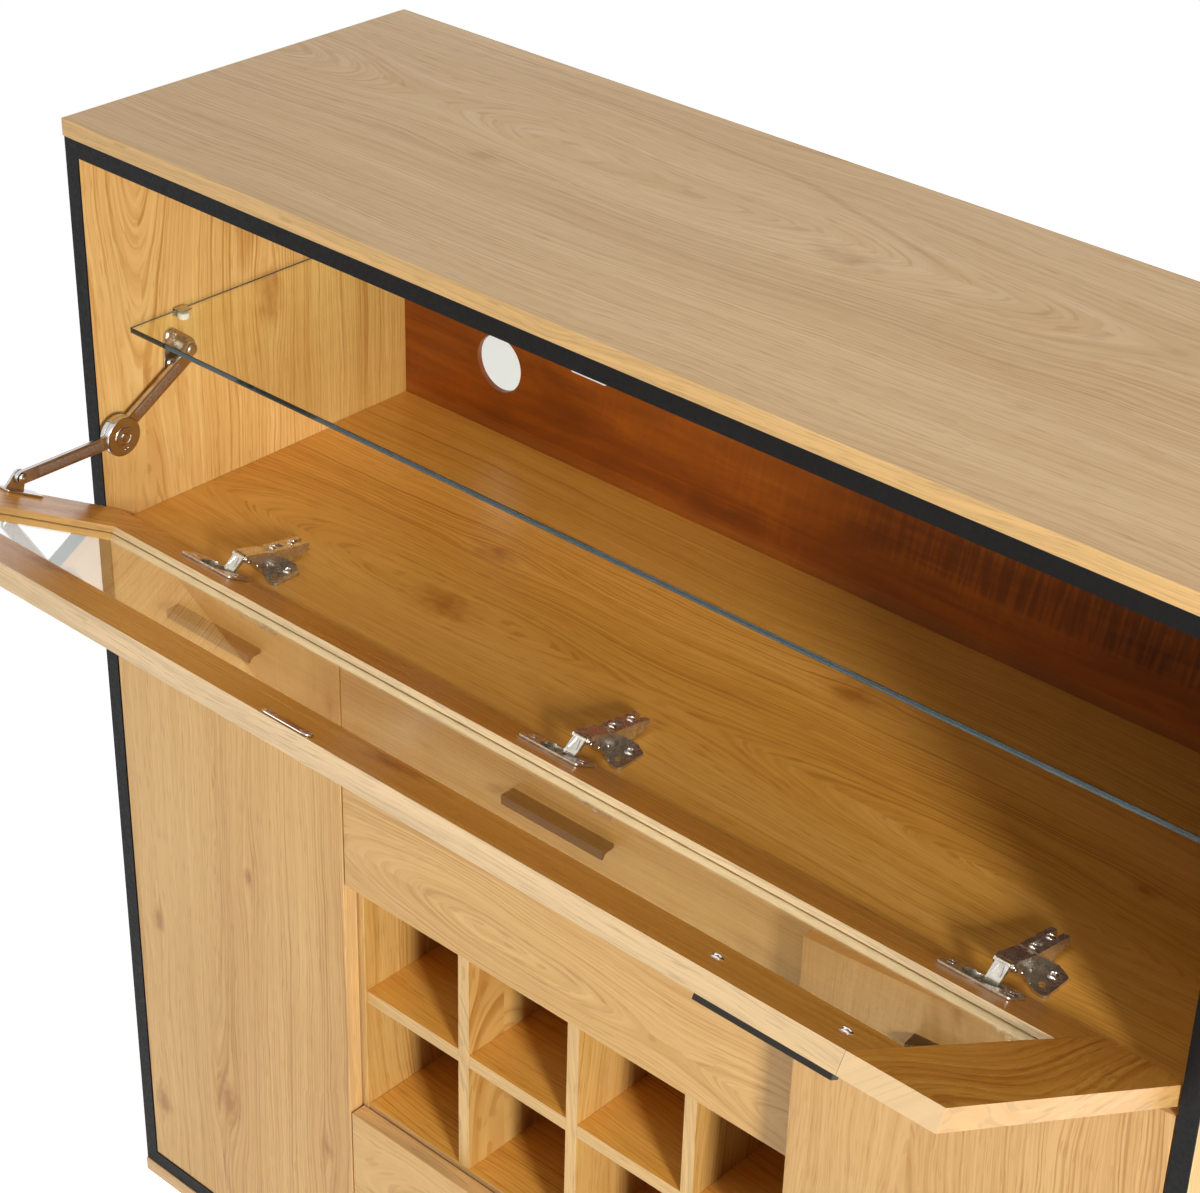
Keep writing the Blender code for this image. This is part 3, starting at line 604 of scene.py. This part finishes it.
def screw(name, point, normal, radius, high, body, mat=BRIGHT, spin_deg=20.0):
    """A domed screw head with a cross recess, its rim let into the surface."""
    profile = [(0.0, high)]
    for step in range(1, 11):
        share = step / 10
        profile.append((radius * share, high * (1 - 0.8 * share ** 2.6)))
    profile += [(radius, 0.02), (radius * 0.98, -0.15)]
    made = turned(profile, recess=0.6 * high)
    return finished(name, made, mat, body, facing(point, normal, spin_deg))


def rivet(name, point, normal, radius, high, body):
    """A pin's rounded end."""
    profile = [(0.0, high), (radius * 0.5, high * 0.93), (radius * 0.85, high * 0.62),
               (radius, high * 0.15), (radius, -0.1)]
    return finished(name, turned(profile, 24), NICKEL, body, facing(point, normal))


def swept_bar(path, width, high):
    """A low bar with bevelled edges along (point, upward, sideways) frames, closed at its ends."""
    made = bmesh.new()
    shape = [(-0.5, -0.1), (-0.5, 0.55), (-0.32, 1.0), (0.32, 1.0), (0.5, 0.55), (0.5, -0.1)]
    rows = []
    for point, upward, sideways in path:
        rows.append([made.verts.new(point + sideways * (s * width * MM) + upward * (u * high * MM))
                     for s, u in shape])
    for first, second in zip(rows, rows[1:]):
        for step in range(len(shape)):
            made.faces.new((first[step - 1], second[step - 1], second[step], first[step]))
    made.faces.new(rows[0])
    made.faces.new(rows[-1])
    return made


def flap_hinges():
    """Screws and pins of the three flap hinges, and two raised ribs on each link."""
    for side, middle in HINGES:
        name = "hinge_%s_" % side
        for part, y, above, radius in ADJUSTERS:
            screw(name + "adjuster_" + part, spot(middle, y, BAR_FLOOR - above), ADJUSTER_SLOPE, radius, 1.7,
                  "cabinet", spin_deg=35.0)
        across, y, above = PLATE_SCREW
        screw(name + "plate_screw", spot(middle + across, y, BAR_FLOOR - above), UP, 4.1, 1.6, "cabinet",
              spin_deg=62.0)
        for hand, sign in (("a", -1), ("b", 1)):
            across, along, proud = FLANGE_SCREW
            screw(name + "flange_screw_" + hand, on_flap(middle + sign * across, along, proud), FLAP_NORMAL,
                  3.7, 1.0, "flap", NICKEL, spin_deg=30.0 * sign)
            for number, (y, above, radius) in enumerate(HINGE_PINS):
                place = spot(middle + sign * CHEEK_X, y, BAR_FLOOR - above)
                rivet(name + "pin_%s_%d" % (hand, number), place, (sign, 0, 0), radius, 0.9, "cabinet")
            link_rib(name + "link_rib_" + hand, middle, sign)


def link_rib(name, middle, sign):
    """A raised rib on one side of a hinge link."""
    start, end = (on_flap(middle + sign * across, along, proud)
                  for across, along, proud in (RIB_START, RIB_END))
    upward = (FLAP_NORMAL * 0.391 + FLAP_ALONG * 0.92).normalized()
    sideways = (end - start).normalized().cross(upward)
    path = [(start.lerp(end, n / 6), upward, sideways) for n in range(7)]
    finished(name, swept_bar(path, 1.7, 0.8), NICKEL, "flap")


def flap_stay():
    """The drum's ringed cap with its two dots, the pivots' heads, the screws and the arms' strips."""
    inward = (1.0, 0.0, 0.0)
    rings = [(0.0, 2.3), (1.6, 2.25), (3.0, 1.9), (3.6, 1.1), (3.8, 0.5), (6.4, 0.5), (6.9, 1.0),
             (8.1, 1.15), (9.0, 0.7), (9.4, 0.4), (13.9, 0.45), (15.6, 0.7), (16.7, 0.6), (17.3, 0.1),
             (17.3, -0.1)]
    finished("stay_drum_cap", turned(rings, 56), NICKEL, "stay_lower",
             facing(spot(STAY_CAP_X, *STAY_ELBOW), inward))
    for number, (back, down) in enumerate(((3.2, 11.2), (0.3, 11.8))):
        place = spot(STAY_DOT_X, STAY_ELBOW[0] + back, STAY_ELBOW[1] + down)
        rivet("stay_drum_dot_%d" % number, place, inward, 1.0, 0.5, "stay_lower")
    rivet("stay_pivot_head", spot(STAY_PIVOT_X, *STAY_PIVOT), inward, 5.4, 2.0, "cabinet")
    rivet("stay_knuckle_head", spot(STAY_KNUCKLE_X, *STAY_KNUCKLE), inward, 4.6, 1.6, "flap")
    screw("stay_bracket_screw_upper", spot(STAY_PLATE_X, 81.5, 215.0), inward, 6.3, 2.4, "cabinet")
    screw("stay_bracket_screw_lower", spot(STAY_PLATE_X, 79.5, 236.5), inward, 4.4, 2.2, "cabinet",
          spin_deg=50.0)
    inset_strip("stay_upper_strip", STAY_UPPER_X, STAY_PIVOT, STAY_ELBOW, 0.16, 0.76, 7.4, "stay_upper")
    inset_strip("stay_lower_strip", STAY_LOWER_X, STAY_KNUCKLE, STAY_ELBOW, 0.16, 0.80, 7.0, "stay_lower")


def inset_strip(name, x, start, end, first, last, width, body):
    """The speckled strip on an arm's outer face, between two shares of the arm's length."""
    a, b = spot(x, *start), spot(x, *end)
    upward = Vector((1, 0, 0))
    sideways = (b - a).normalized().cross(upward)
    path = [(a.lerp(b, first + (last - first) * n / 8), upward, sideways) for n in range(9)]
    finished(name, swept_bar(path, width, 0.35), BRUSHED, body)


def flap_fittings():
    """Flat screws in the catch plate, and the pulls' screws on the flap's inside."""
    for hand, sign in (("left", -1), ("right", 1)):
        across, along, proud = CATCH_SCREW
        screw("catch_plate_screw_" + hand, on_flap(sign * across, along, proud), FLAP_NORMAL, 4.3, 0.3,
              "flap", spin_deg=15.0 * sign)
        for place, x in PULL_SCREWS:
            screw("flap_pull_screw_%s_%s" % (hand, place), on_flap(sign * x, PULL_SCREW_ALONG, 0.0),
                  FLAP_NORMAL, 4.6, 1.7, "flap", spin_deg=x)


def shelf_clips():
    """Under the glass a pale stud, over it a thin bent tab that hooks on the side panel."""
    profile = [(0.0, 6.0), (4.4, 6.0), (5.0, 5.6), (5.1, 4.8), (5.1, 1.6), (4.6, 0.5), (3.0, 0.05),
               (2.8, 0.0)]
    bends = ((533.6, 199.0, 1.0), (533.6, 189.6, 1.0), (533.3, 188.6, 0.6), (532.4, 188.3, 0.2),
             (529.0, 188.2, 0.0), (521.0, 188.2, 0.0))
    for side, sign in (("left", -1), ("right", 1)):
        for where, depth in CLIP_DEPTHS:
            name = "shelf_clip_%s_%s" % (side, where)
            piece = finished(name + "_stud", turned(profile, 36), WHITE, "cabinet",
                             Matrix.Translation(spot(sign * CLIP_STUD_X, depth, CLIP_STUD_DOWN)))
            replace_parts(piece, name)
            path = []
            for x, down, tilt in bends:
                upward = Vector((-sign * tilt, 0, 1.0 - tilt)).normalized()
                path.append((spot(sign * x, depth, down), upward, Vector((0, 1, 0))))
            finished(name + "_tab", swept_bar(path, 11.0, 0.8), NICKEL, "cabinet")


def fittings():
    """Metal nodes get rounded edges; then come the small pieces."""
    for node in NODES:
        if node.startswith(("flap_hinge_arm", "flap_hinge_cup")):
            refined(node, SATIN, 0.45)
        elif node.startswith(("stay_", "flap_catch")):
            refined(node, NICKEL, 0.5)
        elif "_door_arm_" in node or "_door_cup_" in node:
            refined(node, NICKEL, 0.4)
        elif "handle" in node:
            refined(node, PULL, 0.5)
    dress(WHITE, "magnetic_catch")
    flap_hinges()
    flap_stay()
    flap_fittings()
    shelf_clips()


def studio():
    """White surroundings, a warm key lamp from the right, two weak fills and a pale floor."""
    scene = bpy.context.scene
    scene.view_settings.view_transform = "Standard"
    world = bpy.data.worlds.new("studio")
    scene.world = world
    world.use_nodes = True
    tree = world.node_tree
    background = tree.nodes["Background"]
    background.inputs["Color"].default_value = (1.0, 1.0, 1.0, 1.0)
    path = tree.nodes.new("ShaderNodeLightPath")
    seen = tree.nodes.new("ShaderNodeMath")
    seen.operation = "MAXIMUM"
    tree.links.new(path.outputs["Is Camera Ray"], seen.inputs[0])
    both = tree.nodes.new("ShaderNodeMath")
    both.operation = "MAXIMUM"
    tree.links.new(path.outputs["Is Glossy Ray"], both.inputs[0])
    tree.links.new(path.outputs["Is Transmission Ray"], both.inputs[1])
    tree.links.new(both.outputs[0], seen.inputs[1])
    level = tree.nodes.new("ShaderNodeMapRange")
    level.inputs["To Min"].default_value = WORLD_FILL
    level.inputs["To Max"].default_value = WORLD_SEEN
    tree.links.new(seen.outputs[0], level.inputs["Value"])
    tree.links.new(level.outputs["Result"], background.inputs["Strength"])

    def lamp(name, place, aim, size, power, colour=(1.0, 1.0, 1.0)):
        data = bpy.data.lights.new(name, "AREA")
        data.shape = "RECTANGLE"
        data.size, data.size_y = size
        data.energy = power
        data.color = colour
        made = bpy.data.objects.new(name, data)
        scene.collection.objects.link(made)
        made.location = place
        made.rotation_euler = (Vector(aim) - Vector(place)).to_track_quat("-Z", "Y").to_euler()

    lamp("key", (3.9, -2.18, 1.98), (0.0, 0.0, 0.85), (0.6, 1.0), 204.0, (1.0, 0.97, 0.93))
    lamp("left", (-1.6, -2.4, 1.7), (0.0, 0.0, 0.8), (1.0, 1.0), 8.0)
    lamp("over", (0.2, -0.2, 3.6), (0.0, 0.0, 1.0), (2.2, 2.2), 32.0)

    bpy.ops.mesh.primitive_grid_add(x_subdivisions=4, y_subdivisions=4, size=16.0,
                                    location=(0, 0, -0.5 * MM))
    floor = bpy.context.object
    floor.name = "studio_floor"
    net = Net("studio_floor")
    net.bsdf.inputs["Base Color"].default_value = (0.9, 0.9, 0.9, 1.0)
    net.bsdf.inputs["Roughness"].default_value = 0.7
    path = net.add("LightPath")
    bounced = net.math("MAXIMUM", path.outputs["Is Glossy Ray"], path.outputs["Is Transmission Ray"])
    rays = net.math("MAXIMUM", path.outputs["Is Camera Ray"], bounced)
    net.bsdf.inputs["Emission Color"].default_value = (1.0, 1.0, 1.0, 1.0)
    net.feed(net.bsdf.inputs["Emission Strength"], net.math("MULTIPLY", rays, FLOOR_GLOW))
    floor.data.materials.append(net.mat)


def photo_camera():
    """The camera that the photograph's vanishing lines give."""
    ahead = Vector(CAMERA_AHEAD).normalized()
    across = ahead.cross(Vector(CAMERA_UP)).normalized()
    upward = across.cross(ahead)
    turn = Matrix((across, upward, -ahead)).transposed()
    data = bpy.data.cameras.new("photo_camera")
    data.sensor_width = SENSOR
    data.lens = SENSOR * FOCAL_PIXELS / PHOTO_WIDTH
    data.clip_end = 60.0
    camera = bpy.data.objects.new("photo_camera", data)
    bpy.context.scene.collection.objects.link(camera)
    camera.matrix_world = Matrix.Translation(spot(*CAMERA_AT)) @ turn.to_4x4()
    bpy.context.scene.camera = camera


dress_boards()
fittings()
studio()
photo_camera()
